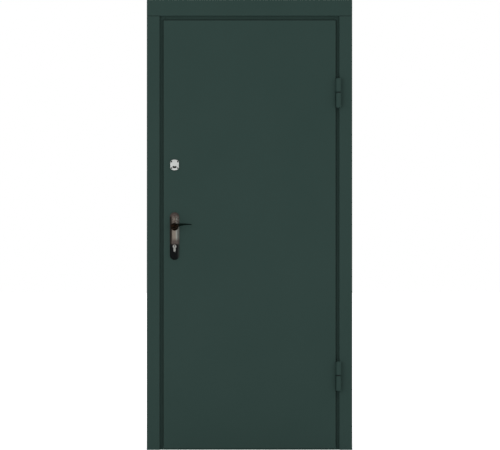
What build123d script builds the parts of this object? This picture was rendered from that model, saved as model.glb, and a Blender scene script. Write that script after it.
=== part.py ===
"""Steel entrance door: a bent-sheet frame with casings and a hinged leaf with lever, cylinder and locks.

Millimetres. X runs to the right seen from outside, Y runs inward through the wall, Z is up.
The origin is on the floor under the sill, at the middle of the width and in the plane of the wall face.
"""

import os

from build123d import *

# Overall size and the visible front
overall_width = 960.0
overall_height = 2105.0
casing_width = 60.0
head_casing_height = 76.0
casing_depth = 18.0
casing_joint = 2.0
tongue_length = 15.0
tongue_clearance = 0.3
lock_gap = 18.0
hinge_gap = 17.0
head_gap = 21.0
floor_gap = 6.0

# Frame
frame_depth = 100.0
flange_cover = 10.0
head_cover = 21.0
sheet = 2.0
bend_radius = 1.5
stop_width = 20.0
sill_stop_height = 18.0
anchor_hole = 13.0
anchor_heights = (300.0, 800.0, 1300.0, 1800.0)

# Leaf
leaf_thickness = 64.0
lip_overlap = 17.0
bottom_overlap = 30.0
lip_depth = 8.0
running_gap = 9.0
stop_gap = 8.0
lock_stile_width = 60.0
hinge_stile_width = 40.0
rail_height = 40.0
fold_radius = 2.0

# Seals
seal_width = 6.5
seal_inset = 2.0
seal_clearance = 0.5
seal_corner = 2.4

# Hinges
hinge_axis_inset = 4.0
hinge_stand_off = 14.0
lower_hinge_height = 349.0
upper_hinge_drop = 337.0
barrel_radius = 12.5
frame_knuckle_length = 70.0
leaf_knuckle_length = 63.0
barrel_tip = 5.0
pin_radius = 6.0
pin_length = 104.0
pin_press = 0.02
pin_running = 0.06
ring_radius = 9.5
ring_height = 5.0
ring_clearance = 0.3
frame_foot_width = 7.0
leaf_arm_thickness = 6.0
leaf_arm_width = 6.0
leaf_arm_clearance = 5.0

# Locks
backset = 35.0
lock_setback = 42.0
forend_width = 24.0
main_forend_height = 240.0
upper_forend_height = 150.0
forend_clearance = 0.3
mounting_plate_thickness = 3.0
mounting_plate_border = 4.0
case_width = 18.0
case_depth = 48.0
case_margin = 22.0
bolt_radius = 7.0
bolt_spacing = 26.0
bolt_length = 24.0
bolt_clearance = 0.3
carriage_thickness = 6.0
latch_width = 12.0
latch_height = 26.0
latch_length = 22.0
latch_bevel = 8.0
latch_rise = 12.0
strike_thickness = 3.0
strike_play = 1.5

# Handle, cylinder and upper escutcheon
spindle_height = 1043.0
cylinder_drop = 92.0
upper_lock_height = 1332.0
plate_width = 44.0
plate_height = 222.0
plate_thickness = 9.0
plate_rim = 4.0
plate_step = 3.5
plate_centre_drop = 43.5
spindle_side = 8.0
spindle_clearance = 0.1
spindle_bore = 12.4
neck_radius = 9.0
neck_clearance = 0.4
collar_radius = 18.0
collar_height = 5.0
collar_clearance = 0.5
lever_reach = 81.0
lever_stand_off = 33.0
lever_end_radius = 0.8
# Lever sections: share of the reach, rise, half height, half depth
lever_stations = (
    (-0.21, 6.0, 4.4, 5.0),
    (0.0, 3.6, 9.2, 8.6),
    (0.31, 8.8, 6.6, 8.2),
    (0.54, 11.0, 4.5, 7.2),
    (0.77, 11.2, 3.2, 5.8),
    (1.0, 10.0, 1.9, 4.4),
)
cylinder_radius = 8.5
cylinder_height = 33.0
cylinder_web = 10.0
cylinder_proud = 1.5
cylinder_clearance = 0.3
keyway_width = 3.2
keyway_height = 10.4
keyway_rise = 1.4
keyway_depth = 7.0
escutcheon_width = 41.0
escutcheon_height = 52.0
escutcheon_thickness = 8.0
escutcheon_edge = 3.5
escutcheon_screw = 4.2
escutcheon_screw_head = 7.5
escutcheon_screw_x = 15.0
escutcheon_screw_z = 15.0
key_slot_width = 18.0
key_slot_height = 3.8
key_slot_drop = 10.0
key_slot_bow = 2.5
key_slot_depth = 7.0

# Depths, from the outside inward
front = -casing_depth
recess_floor = -sheet
lip_back = front + lip_depth
leaf_back = front + leaf_thickness
leaf_middle = front + leaf_thickness / 2
stop_face = leaf_back + stop_gap
core_front = front + sheet
core_back = leaf_back - sheet
anchor_depth = (stop_face + frame_depth) / 2

# Lines of the opening, from the casings inward
outer_edge = overall_width / 2
casing_edge = outer_edge - casing_width
frame_edge = casing_edge + flange_cover
casing_foot = overall_height - head_casing_height
frame_height = casing_foot + head_cover
leaf_left = lock_gap - casing_edge
leaf_right = casing_edge - hinge_gap
leaf_top = casing_foot - head_gap
leaf_bottom = floor_gap
core_left = leaf_left + lip_overlap
core_right = leaf_right - lip_overlap
core_top = leaf_top - lip_overlap
core_bottom = leaf_bottom + bottom_overlap
reveal_left = core_left - running_gap
reveal_right = core_right + running_gap
reveal_top = core_top + running_gap
sill_top = core_bottom - running_gap
inner_left = reveal_left + stop_width
inner_right = reveal_right - stop_width
inner_top = reveal_top - stop_width
sill_stop = sill_top + sill_stop_height

# Hardware axes
hinge_x = casing_edge - hinge_axis_inset
hinge_y = front - hinge_stand_off
spindle_x = core_left + backset
cylinder_z = spindle_height - cylinder_drop
plate_z = spindle_height - plate_centre_drop
plate_face = front - plate_thickness
lever_y = plate_face - lever_stand_off
lock_y = front + lock_setback
main_lock_z = (spindle_height + cylinder_z) / 2
latch_z = spindle_height + latch_rise
wall_inside = core_left + sheet
case_front = wall_inside + mounting_plate_thickness

inward = (0, 1, 0)


def facing_plane(y):
    """Upright plane at one depth: sketch x runs across the door and sketch y runs up."""
    return Plane(origin=(0, y, 0), x_dir=(1, 0, 0), z_dir=(0, -1, 0))


def edge_plane(x):
    """Upright plane across the door's edge: sketch x runs inward and sketch y runs up."""
    return Plane(origin=(x, 0, 0), x_dir=(0, 1, 0), z_dir=(1, 0, 0))


def rectangle_between(low, high, mode=Mode.ADD):
    """Draw a rectangle from its low corner to its high corner in the open sketch."""
    with Locations(((low[0] + high[0]) / 2, (low[1] + high[1]) / 2)):
        Rectangle(high[0] - low[0], high[1] - low[1], mode=mode)


def finish(builder, name):
    """Label a finished piece and write its solid."""
    builder.part.label = name
    export_step(builder.part, f"parts/{name}.step")


def upright_path(side, reveal):
    """Middle line of an upright's sheet: front flange, reveal, stop, inner reveal, back flange."""
    outer_wall = reveal + side * sheet / 2
    inner_wall = outer_wall - side * stop_width
    return (
        (side * frame_edge, -sheet / 2),
        (outer_wall, -sheet / 2),
        (outer_wall, stop_face + sheet / 2),
        (inner_wall, stop_face + sheet / 2),
        (inner_wall, frame_depth - sheet / 2),
        (side * frame_edge, frame_depth - sheet / 2),
    )


def draw_cylinder(clearance):
    """Draw the lock cylinder's outline in the open sketch: round above, a rounded web below."""
    web = cylinder_web / 2 + clearance
    foot = cylinder_z - (cylinder_height - cylinder_radius - cylinder_web / 2)
    with Locations((spindle_x, cylinder_z)):
        Circle(cylinder_radius + clearance)
    with Locations((spindle_x, foot)):
        Circle(web)
    rectangle_between((spindle_x - web, foot), (spindle_x + web, cylinder_z))


def draw_key_slot():
    """Draw the upper lock's bowed key slot in the open sketch."""
    half = (key_slot_width - key_slot_height) / 2
    low = upper_lock_height - key_slot_drop
    with BuildLine() as outline:
        ThreePointArc(
            (spindle_x - half, low + key_slot_bow), (spindle_x, low), (spindle_x + half, low + key_slot_bow)
        )
        offset(amount=key_slot_height / 2)
    make_face(outline.edges())


def draw_sheet_openings():
    """Draw the openings for neck, cylinder and upper key through the leaf's sheets."""
    with Locations((spindle_x, spindle_height)):
        Circle(neck_radius + 2 * neck_clearance)
    with Locations((spindle_x, upper_lock_height - key_slot_drop)):
        Circle(key_slot_width / 2)
    draw_cylinder(2 * cylinder_clearance)


def draw_forend(lock_z, height, border):
    """Draw a lock's forend outline, grown by a border, in the open edge sketch."""
    half_width = forend_width / 2 + border
    half_height = height / 2 + border
    rectangle_between(
        (lock_y - half_width, lock_z - half_height),
        (lock_y + half_width, lock_z + half_height),
    )


def draw_bolts(heights, clearance):
    """Draw a lock's round bolts in the open edge sketch."""
    with Locations(*[(lock_y, height) for height in heights]):
        Circle(bolt_radius + clearance)


def draw_latch(clearance):
    """Draw the latch's outline in the open edge sketch."""
    with Locations((lock_y, latch_z)):
        Rectangle(latch_width + 2 * clearance, latch_height + 2 * clearance)


# Frame uprights: one bent sheet each, open to the wall
with BuildPart() as lock_jamb:
    with BuildSketch():
        with BuildLine():
            FilletPolyline(*upright_path(-1, reveal_left), radius=bend_radius)
        trace(line_width=sheet)
    extrude(amount=frame_height)
    with BuildSketch(edge_plane(reveal_left)):
        draw_forend(main_lock_z, main_forend_height, strike_play)
        draw_forend(upper_lock_height, upper_forend_height, strike_play)
    extrude(amount=-sheet, mode=Mode.SUBTRACT)
    with BuildSketch(edge_plane(inner_left)):
        with Locations(*[(anchor_depth, height) for height in anchor_heights]):
            Circle(anchor_hole / 2)
    extrude(amount=-sheet, mode=Mode.SUBTRACT)
finish(lock_jamb, "lock_jamb")

with BuildPart() as hinge_jamb:
    with BuildSketch():
        with BuildLine():
            FilletPolyline(*upright_path(1, reveal_right), radius=bend_radius)
        trace(line_width=sheet)
    extrude(amount=frame_height)
    with BuildSketch(edge_plane(inner_right)):
        with Locations(*[(anchor_depth, height) for height in anchor_heights]):
            Circle(anchor_hole / 2)
    extrude(amount=sheet, mode=Mode.SUBTRACT)
finish(hinge_jamb, "hinge_jamb")

# Frame head: the same bent section, coped over the stops of the uprights
cope_start = stop_face - bend_radius + sheet / 2
with BuildPart() as frame_head:
    with BuildSketch(edge_plane(reveal_left)):
        with BuildLine():
            FilletPolyline(
                (-sheet / 2, frame_height),
                (-sheet / 2, reveal_top + sheet / 2),
                (stop_face + sheet / 2, reveal_top + sheet / 2),
                (stop_face + sheet / 2, inner_top + sheet / 2),
                (frame_depth - sheet / 2, inner_top + sheet / 2),
                (frame_depth - sheet / 2, frame_height),
                radius=bend_radius,
            )
        trace(line_width=sheet)
    extrude(amount=reveal_right - reveal_left)
    with BuildSketch():
        rectangle_between((reveal_left, cope_start), (inner_left, frame_depth))
        rectangle_between((inner_right, cope_start), (reveal_right, frame_depth))
    extrude(amount=frame_height, mode=Mode.SUBTRACT)
finish(frame_head, "frame_head")

# Sill: a stepped hollow section, coped like the head
with BuildPart() as sill:
    with BuildSketch(edge_plane(reveal_left)):
        rectangle_between((recess_floor, 0), (frame_depth, sill_top))
        rectangle_between((stop_face, 0), (frame_depth, sill_stop))
        offset(amount=-sheet, kind=Kind.INTERSECTION, mode=Mode.SUBTRACT)
    extrude(amount=reveal_right - reveal_left)
    with BuildSketch():
        rectangle_between((reveal_left, cope_start), (inner_left, frame_depth))
        rectangle_between((inner_right, cope_start), (reveal_right, frame_depth))
    extrude(amount=sill_stop, mode=Mode.SUBTRACT)
finish(sill, "sill")

# Casings: side channels butted under one head tray, whose tongues close the joints from behind
for side, name in ((-1, "lock_casing"), (1, "hinge_casing")):
    with BuildPart() as side_casing:
        with BuildSketch():
            with BuildLine():
                FilletPolyline(
                    (side * (outer_edge - sheet / 2), 0),
                    (side * (outer_edge - sheet / 2), front + sheet / 2),
                    (side * (casing_edge + sheet / 2), front + sheet / 2),
                    (side * (casing_edge + sheet / 2), recess_floor),
                    radius=bend_radius,
                )
            trace(line_width=sheet)
        extrude(amount=casing_foot - casing_joint)
    finish(side_casing, name)

tongue_inner = casing_edge + sheet + tongue_clearance
tongue_outer = outer_edge - sheet - tongue_clearance
tongue_foot = casing_foot - tongue_length
with BuildPart() as head_casing:
    with BuildSketch(facing_plane(front)):
        rectangle_between((-outer_edge, casing_foot), (outer_edge, overall_height))
    extrude(amount=casing_depth, dir=inward)
    fillet(head_casing.faces().sort_by(Axis.Y)[0].edges(), radius=fold_radius)
    with BuildSketch(facing_plane(core_front)):
        rectangle_between(
            (sheet - outer_edge, casing_foot + sheet), (outer_edge - sheet, overall_height - sheet)
        )
    extrude(amount=casing_depth, dir=inward, mode=Mode.SUBTRACT)
    with BuildSketch(facing_plane(recess_floor)):
        rectangle_between((sheet - outer_edge, casing_foot), (outer_edge - sheet, casing_foot + sheet))
    extrude(amount=sheet, dir=inward, mode=Mode.SUBTRACT)
    with BuildSketch(facing_plane(core_front + tongue_clearance)):
        rectangle_between((-tongue_outer, tongue_foot), (-tongue_inner, casing_foot + sheet))
        rectangle_between((tongue_inner, tongue_foot), (tongue_outer, casing_foot + sheet))
    extrude(amount=sheet, dir=inward)
finish(head_casing, "head_casing")

# Seals: an outer gasket on the front flanges and an inner one on the stops
seal_edge = bend_radius + sheet / 2 + seal_inset
for name, seat, tip, left, right, low, high in (
    ("outer_seal", recess_floor, lip_back + seal_clearance, reveal_left, reveal_right, sill_top, reveal_top),
    ("inner_seal", stop_face, leaf_back + seal_clearance, inner_left, inner_right, sill_stop, inner_top),
):
    with BuildPart() as seal:
        with BuildSketch(facing_plane(seat)):
            for border, mode in ((seal_edge + seal_width, Mode.ADD), (seal_edge, Mode.SUBTRACT)):
                rectangle_between((left - border, low - border), (right + border, high + border), mode)
        extrude(amount=seat - tip)
        fillet(seal.faces().sort_by(Axis.Y)[0].edges(), radius=seal_corner)
    finish(seal, name)

# Leaf: a folded outer pan whose lip overlaps the frame, on a tube core, closed by an inner sheet
with BuildPart() as outer_skin:
    with BuildSketch(facing_plane(front)):
        rectangle_between((leaf_left, leaf_bottom), (leaf_right, leaf_top))
    extrude(amount=lip_depth, dir=inward)
    fillet(outer_skin.faces().sort_by(Axis.Y)[0].edges(), radius=fold_radius)
    with BuildSketch(facing_plane(core_front)):
        rectangle_between((leaf_left + sheet, leaf_bottom + sheet), (leaf_right - sheet, leaf_top - sheet))
    extrude(amount=lip_depth - 2 * sheet, dir=inward, mode=Mode.SUBTRACT)
    with BuildSketch(facing_plane(lip_back)):
        rectangle_between((core_left, core_bottom), (core_right, core_top))
    extrude(amount=sheet, mode=Mode.SUBTRACT)
    with BuildSketch(facing_plane(front)):
        draw_sheet_openings()
    extrude(amount=sheet, dir=inward, mode=Mode.SUBTRACT)
finish(outer_skin, "outer_skin")

with BuildPart() as inner_skin:
    with BuildSketch(facing_plane(core_back)):
        rectangle_between((core_left, core_bottom), (core_right, core_top))
    extrude(amount=sheet, dir=inward)
    with BuildSketch(facing_plane(core_back)):
        draw_sheet_openings()
    extrude(amount=sheet, dir=inward, mode=Mode.SUBTRACT)
finish(inner_skin, "inner_skin")

with BuildPart() as lock_stile:
    with BuildSketch(Plane.XY.offset(core_bottom)):
        rectangle_between((core_left, core_front), (core_left + lock_stile_width, core_back))
        offset(amount=-sheet, kind=Kind.INTERSECTION, mode=Mode.SUBTRACT)
    extrude(amount=core_top - core_bottom)
    with BuildSketch(facing_plane(core_front)):
        draw_sheet_openings()
    extrude(amount=core_back - core_front, dir=inward, mode=Mode.SUBTRACT)
    with BuildSketch(edge_plane(core_left)):
        draw_forend(main_lock_z, main_forend_height, forend_clearance)
        draw_forend(upper_lock_height, upper_forend_height, forend_clearance)
    extrude(amount=sheet, mode=Mode.SUBTRACT)
finish(lock_stile, "lock_stile")

with BuildPart() as hinge_stile:
    with BuildSketch(Plane.XY.offset(core_bottom)):
        rectangle_between((core_right - hinge_stile_width, core_front), (core_right, core_back))
        offset(amount=-sheet, kind=Kind.INTERSECTION, mode=Mode.SUBTRACT)
    extrude(amount=core_top - core_bottom)
finish(hinge_stile, "hinge_stile")

for name, low in (("bottom_rail", core_bottom), ("top_rail", core_top - rail_height)):
    with BuildPart() as rail:
        with BuildSketch(edge_plane(core_left + lock_stile_width)):
            rectangle_between((core_front, low), (core_back, low + rail_height))
            offset(amount=-sheet, kind=Kind.INTERSECTION, mode=Mode.SUBTRACT)
        extrude(amount=core_right - hinge_stile_width - core_left - lock_stile_width)
    finish(rail, name)

# Hinges: lower knuckle and pin on the frame, upper knuckle on the leaf, a ring between
pin_socket = (pin_length - ring_height) / 2
arm_front = (front + lip_back - leaf_arm_thickness) / 2
arm_back = arm_front + leaf_arm_thickness
arm_right = casing_edge - leaf_arm_clearance
for level, seam in (("lower", lower_hinge_height), ("upper", leaf_top - upper_hinge_drop)):
    ring_foot = seam - ring_height / 2
    ring_top = seam + ring_height / 2
    with BuildPart() as frame_knuckle:
        with BuildSketch(Plane.XY.offset(ring_foot)):
            with Locations((hinge_x, hinge_y)):
                Circle(barrel_radius)
        extrude(amount=-frame_knuckle_length)
        fillet(frame_knuckle.faces().sort_by(Axis.Z)[0].edges(), radius=barrel_tip)
        with BuildSketch(Plane.XY.offset(ring_foot)):
            rectangle_between((hinge_x - frame_foot_width, hinge_y), (hinge_x, recess_floor))
        extrude(amount=barrel_tip - frame_knuckle_length)
        with BuildSketch(Plane.XY.offset(ring_foot)):
            with Locations((hinge_x, hinge_y)):
                Circle(pin_radius + pin_press)
        extrude(amount=-pin_socket, mode=Mode.SUBTRACT)
    finish(frame_knuckle, f"{level}_frame_knuckle")

    with BuildPart() as leaf_knuckle:
        with BuildSketch(Plane.XY.offset(ring_top)):
            with Locations((hinge_x, hinge_y)):
                Circle(barrel_radius)
        extrude(amount=leaf_knuckle_length)
        fillet(leaf_knuckle.faces().sort_by(Axis.Z)[-1].edges(), radius=barrel_tip)
        with BuildSketch(Plane.XY.offset(ring_top)):
            rectangle_between((leaf_right, arm_front), (arm_right, arm_back))
            rectangle_between((arm_right - leaf_arm_width, hinge_y), (arm_right, arm_back))
        extrude(amount=leaf_knuckle_length - barrel_tip)
        with BuildSketch(Plane.XY.offset(ring_top)):
            with Locations((hinge_x, hinge_y)):
                Circle(pin_radius + pin_running)
        extrude(amount=pin_socket + ring_clearance, mode=Mode.SUBTRACT)
    finish(leaf_knuckle, f"{level}_leaf_knuckle")

    with BuildPart() as hinge_pin:
        with BuildSketch(Plane.XY.offset(seam - pin_length / 2)):
            with Locations((hinge_x, hinge_y)):
                Circle(pin_radius)
        extrude(amount=pin_length)
        chamfer(hinge_pin.faces().sort_by(Axis.Z)[-1].edges(), length=pin_radius / 6)
    finish(hinge_pin, f"{level}_hinge_pin")

    with BuildPart() as bearing_ring:
        with BuildSketch(Plane.XY.offset(ring_foot)):
            with Locations((hinge_x, hinge_y)):
                Circle(ring_radius)
                Circle(pin_radius + ring_clearance, mode=Mode.SUBTRACT)
        extrude(amount=ring_height - ring_clearance)
    finish(bearing_ring, f"{level}_bearing_ring")

# Locks: forend in the stile's edge, case behind it, bolts drawn back flush
main_bolts = [cylinder_z + step * bolt_spacing for step in (-1, 0, 1)]
upper_bolts = [upper_lock_height + step * bolt_spacing / 2 for step in (-1, 1)]
bolt_pocket = core_left + bolt_length
for name, lock_z, height, bolts in (
    ("main", main_lock_z, main_forend_height, main_bolts),
    ("upper", upper_lock_height, upper_forend_height, upper_bolts),
):
    half_case = height / 2 - case_margin
    with BuildPart() as lock:
        with BuildSketch(edge_plane(core_left)):
            draw_forend(lock_z, height, 0)
        extrude(amount=sheet)
        with BuildSketch(edge_plane(wall_inside)):
            draw_forend(lock_z, height, mounting_plate_border)
        extrude(amount=mounting_plate_thickness)
        with BuildSketch(edge_plane(case_front)):
            rectangle_between(
                (lock_y - case_width / 2, lock_z - half_case),
                (lock_y + case_width / 2, lock_z + half_case),
            )
        extrude(amount=case_depth)
        with BuildSketch(edge_plane(core_left)):
            draw_bolts(bolts, bolt_clearance)
        extrude(amount=bolt_length + bolt_clearance, mode=Mode.SUBTRACT)
        with BuildSketch(edge_plane(bolt_pocket - carriage_thickness - bolt_clearance)):
            rectangle_between(
                (lock_y - bolt_radius - bolt_clearance, bolts[0]),
                (lock_y + bolt_radius + bolt_clearance, bolts[-1]),
            )
        extrude(amount=carriage_thickness + 2 * bolt_clearance, mode=Mode.SUBTRACT)
        if name == "main":
            with BuildSketch(edge_plane(core_left)):
                draw_latch(bolt_clearance)
            extrude(amount=latch_length + bolt_clearance, mode=Mode.SUBTRACT)
            with BuildSketch(facing_plane(core_front)):
                with Locations((spindle_x, spindle_height)):
                    Circle(spindle_bore / 2)
                draw_cylinder(cylinder_clearance)
            extrude(amount=core_back - core_front, dir=inward, mode=Mode.SUBTRACT)
        else:
            for case_side, into_case in ((lock_y - case_width / 2, 1), (lock_y + case_width / 2, -1)):
                with BuildSketch(facing_plane(case_side)):
                    draw_key_slot()
                extrude(amount=key_slot_depth, dir=(0, into_case, 0), mode=Mode.SUBTRACT)
    finish(lock, f"{name}_lock")

    with BuildPart() as bolt_set:
        with BuildSketch(edge_plane(core_left)):
            draw_bolts(bolts, 0)
        extrude(amount=bolt_length)
        chamfer(bolt_set.faces().group_by(Axis.X)[0].edges(), length=bolt_clearance)
        with BuildSketch(edge_plane(bolt_pocket - carriage_thickness)):
            rectangle_between(
                (lock_y - bolt_radius / 2, bolts[0]), (lock_y + bolt_radius / 2, bolts[-1])
            )
        extrude(amount=carriage_thickness)
        if name == "main":
            with BuildSketch(facing_plane(core_front)):
                draw_cylinder(cylinder_clearance)
            extrude(amount=core_back - core_front, dir=inward, mode=Mode.SUBTRACT)
    finish(bolt_set, f"{name}_bolts")

    with BuildPart() as strike_plate:
        with BuildSketch(edge_plane(reveal_left - sheet)):
            draw_forend(lock_z, height, mounting_plate_border)
        extrude(amount=-strike_thickness)
        with BuildSketch(edge_plane(reveal_left - sheet)):
            draw_bolts(bolts, strike_play)
            if name == "main":
                draw_latch(strike_play)
        extrude(amount=-strike_thickness, mode=Mode.SUBTRACT)
    finish(strike_plate, f"{name}_strike")

with BuildPart() as latch:
    with BuildSketch(edge_plane(core_left)):
        draw_latch(0)
    extrude(amount=latch_length)
    chamfer(
        latch.faces().sort_by(Axis.X)[0].edges().sort_by(Axis.Y)[0], length=latch_bevel, length2=latch_bevel
    )
finish(latch, "latch")

# Handle plates, one on each face
with BuildPart() as outside_plate:
    with BuildSketch(facing_plane(front)):
        with Locations((spindle_x, plate_z)):
            SlotOverall(plate_height, plate_width, rotation=90)
    extrude(amount=plate_rim)
    fillet(outside_plate.faces().sort_by(Axis.Y)[0].edges(), radius=plate_rim / 2)
    with BuildSketch(facing_plane(front)):
        with Locations((spindle_x, plate_z)):
            SlotOverall(plate_height - 2 * plate_step, plate_width - 2 * plate_step, rotation=90)
    extrude(amount=plate_thickness)
    fillet(outside_plate.faces().sort_by(Axis.Y)[0].edges(), radius=plate_step)
    with BuildSketch(facing_plane(front)):
        with Locations((spindle_x, spindle_height)):
            Circle(neck_radius + neck_clearance)
        draw_cylinder(cylinder_clearance)
    extrude(amount=plate_thickness, mode=Mode.SUBTRACT)
finish(outside_plate, "outside_plate")

leaf_mirror = facing_plane(leaf_middle)
with BuildPart() as inside_plate:
    mirror(outside_plate.part, about=leaf_mirror)
finish(inside_plate, "inside_plate")

# Levers on a square spindle
spindle_axis = Axis((spindle_x, 0, spindle_height), (0, 1, 0))
collar_back = plate_face - collar_clearance
with BuildPart() as outside_lever:
    with BuildSketch(Plane(origin=(spindle_x, 0, spindle_height))):
        with BuildLine():
            neck = Polyline(
                (0, front - plate_rim),
                (neck_radius, front - plate_rim),
                (neck_radius, collar_back),
                (collar_radius, collar_back),
                (collar_radius, collar_back - collar_height / 2),
                (collar_radius - collar_height / 2, collar_back - collar_height),
                (neck_radius, collar_back - 2 * collar_height),
                (neck_radius, lever_y),
            )
            RadiusArc(neck @ 1, (0, lever_y - neck_radius), neck_radius)
            Line((0, lever_y - neck_radius), neck @ 0)
        make_face()
    revolve(axis=spindle_axis)
    for along, rise, half_height, half_depth in lever_stations:
        station = (spindle_x + along * lever_reach, lever_y, spindle_height + rise)
        with BuildSketch(Plane(origin=station, x_dir=(0, 1, 0), z_dir=(1, 0, 0))):
            Ellipse(half_depth, half_height)
    loft()
    for end in (0, -1):
        fillet(outside_lever.faces().sort_by(Axis.X)[end].edges(), radius=lever_end_radius)
    with BuildSketch(facing_plane(front - plate_rim)):
        with Locations((spindle_x, spindle_height)):
            Rectangle(spindle_side + 2 * spindle_clearance, spindle_side + 2 * spindle_clearance)
    extrude(amount=lever_stand_off, mode=Mode.SUBTRACT)
finish(outside_lever, "outside_lever")

with BuildPart() as inside_lever:
    mirror(outside_lever.part, about=leaf_mirror)
finish(inside_lever, "inside_lever")

with BuildPart() as spindle:
    with BuildSketch(leaf_mirror):
        with Locations((spindle_x, spindle_height)):
            Rectangle(spindle_side, spindle_side)
    extrude(amount=leaf_middle - front + lever_stand_off, both=True)
finish(spindle, "spindle")

# Lock cylinder, with its keyway on both faces
with BuildPart() as cylinder:
    with BuildSketch(leaf_mirror):
        draw_cylinder(0)
    extrude(amount=leaf_middle - plate_face + cylinder_proud, both=True)
    cylinder_face = plate_face - cylinder_proud
    for face_y, direction in ((cylinder_face, 1), (2 * leaf_middle - cylinder_face, -1)):
        with BuildSketch(facing_plane(face_y)):
            with Locations((spindle_x, cylinder_z + keyway_rise)):
                Rectangle(keyway_width, keyway_height)
        extrude(amount=keyway_depth, dir=(0, direction, 0), mode=Mode.SUBTRACT)
finish(cylinder, "cylinder")

# Upper escutcheons: a round cover with flat sides, four countersunk screws and the key slot
with BuildPart() as outside_escutcheon:
    with BuildSketch(facing_plane(front)):
        with Locations((spindle_x, upper_lock_height)):
            Circle(escutcheon_height / 2)
            Rectangle(escutcheon_width, escutcheon_height, mode=Mode.INTERSECT)
    extrude(amount=escutcheon_thickness)
    fillet(outside_escutcheon.faces().sort_by(Axis.Y)[0].edges(), radius=escutcheon_edge)
    with Locations(facing_plane(front - escutcheon_thickness)):
        with Locations((spindle_x, upper_lock_height)):
            with GridLocations(2 * escutcheon_screw_x, 2 * escutcheon_screw_z, 2, 2):
                CounterSinkHole(escutcheon_screw / 2, escutcheon_screw_head / 2)
    with BuildSketch(facing_plane(front)):
        draw_key_slot()
    extrude(amount=escutcheon_thickness, mode=Mode.SUBTRACT)
finish(outside_escutcheon, "outside_escutcheon")

with BuildPart() as inside_escutcheon:
    mirror(outside_escutcheon.part, about=leaf_mirror)
finish(inside_escutcheon, "inside_escutcheon")
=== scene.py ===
"""Dress the steel entrance door: its finishes, fasteners and welds, the studio and the camera.

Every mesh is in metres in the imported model's frame: X to the right seen from outside, Y inward, Z up.
"""

import logging
import math
from dataclasses import dataclass
from enum import Enum
from typing import Any, ClassVar, Dict, List, Optional, Sequence, Tuple, Union

import bmesh
import bpy
from mathutils import Matrix, Vector


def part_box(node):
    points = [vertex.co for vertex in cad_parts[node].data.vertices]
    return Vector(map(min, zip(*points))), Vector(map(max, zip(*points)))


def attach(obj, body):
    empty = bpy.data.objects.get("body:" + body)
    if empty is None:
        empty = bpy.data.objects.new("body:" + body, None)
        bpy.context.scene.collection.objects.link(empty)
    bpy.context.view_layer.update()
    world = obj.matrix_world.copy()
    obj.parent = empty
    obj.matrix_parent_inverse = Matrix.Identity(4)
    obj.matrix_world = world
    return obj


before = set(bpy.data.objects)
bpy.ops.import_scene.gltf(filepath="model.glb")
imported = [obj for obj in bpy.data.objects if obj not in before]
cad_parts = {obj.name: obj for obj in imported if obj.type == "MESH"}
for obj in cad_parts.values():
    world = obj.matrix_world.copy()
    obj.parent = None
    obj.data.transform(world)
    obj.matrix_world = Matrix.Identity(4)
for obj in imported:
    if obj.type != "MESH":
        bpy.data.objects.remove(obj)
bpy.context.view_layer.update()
LOG = logging.getLogger("entrance_door")

MM = 0.001
Colour = Tuple[float, float, float, float]
Settings = Optional[Dict[str, Any]]
Sockets = Optional[Dict[Union[int, str], Any]]


def rgb(red: float, green: float, blue: float) -> Colour:
    """Return an opaque linear colour."""
    return (red, green, blue, 1.0)


WHITE = rgb(1.0, 1.0, 1.0)


class Body(Enum):
    """The rigid bodies that the added pieces ride on."""

    FRAME = "frame"
    LEAF = "leaf"


class Face(Enum):
    """The two sides of the leaf, with the way each one looks along Y."""

    OUTSIDE = -1.0
    INSIDE = 1.0

    @property
    def normal(self) -> Vector:
        """Return the outward direction of this side."""
        return Vector((0.0, self.value, 0.0))

    def node(self, kind: str) -> str:
        """Return the name of this side's node of a kind, such as its plate."""
        return f"{self.name.lower()}_{kind}"

    def front(self, low: Vector, high: Vector) -> float:
        """Return how far a box with these corners reaches along Y on this side."""
        return low.y if self is Face.OUTSIDE else high.y


class Wire:
    """An output socket whose arithmetic adds the Math nodes that it needs."""

    def __init__(self, graph: "Graph", socket: bpy.types.NodeSocket) -> None:
        """Keep the socket and the graph it belongs to."""
        self.graph = graph
        self.socket = socket

    def _math(self, operation: str, *terms: "Term") -> "Wire":
        """Return the output of one Math node over the given terms."""
        return self.graph.out("ShaderNodeMath", {"operation": operation}, dict(enumerate(terms)))

    def __add__(self, other: "Term") -> "Wire":
        """Return self + other."""
        return self._math("ADD", self, other)

    def __radd__(self, other: "Term") -> "Wire":
        """Return other + self."""
        return self._math("ADD", other, self)

    def __sub__(self, other: "Term") -> "Wire":
        """Return self - other."""
        return self._math("SUBTRACT", self, other)

    def __rsub__(self, other: "Term") -> "Wire":
        """Return other - self."""
        return self._math("SUBTRACT", other, self)

    def __mul__(self, other: "Term") -> "Wire":
        """Return self * other."""
        return self._math("MULTIPLY", self, other)

    def __rmul__(self, other: "Term") -> "Wire":
        """Return other * self."""
        return self._math("MULTIPLY", other, self)

    def __truediv__(self, other: "Term") -> "Wire":
        """Return self / other."""
        return self._math("DIVIDE", self, other)

    def __rtruediv__(self, other: "Term") -> "Wire":
        """Return other / self."""
        return self._math("DIVIDE", other, self)

    def larger(self, other: "Term") -> "Wire":
        """Return the larger of two values."""
        return self._math("MAXIMUM", self, other)

    def swing(self, reach: float) -> "Wire":
        """Return noise about 0.5 as a swing about 0 that is reach wide."""
        return (self - 0.5) * reach

    def ramp(self, low: float, high: float) -> "Wire":
        """Return a smooth step that is 0 at low and 1 at high.

        Args:
            low: the value at which the step starts.
            high: the value at which it is complete; below low it runs downward.

        Returns:
            The step as a value from 0 to 1.
        """
        settings = {"interpolation_type": "SMOOTHSTEP"}
        return self.graph.out("ShaderNodeMapRange", settings, {0: self, 1: low, 2: high, 3: 0.0, 4: 1.0})


Term = Union[Wire, float, Colour]


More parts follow.
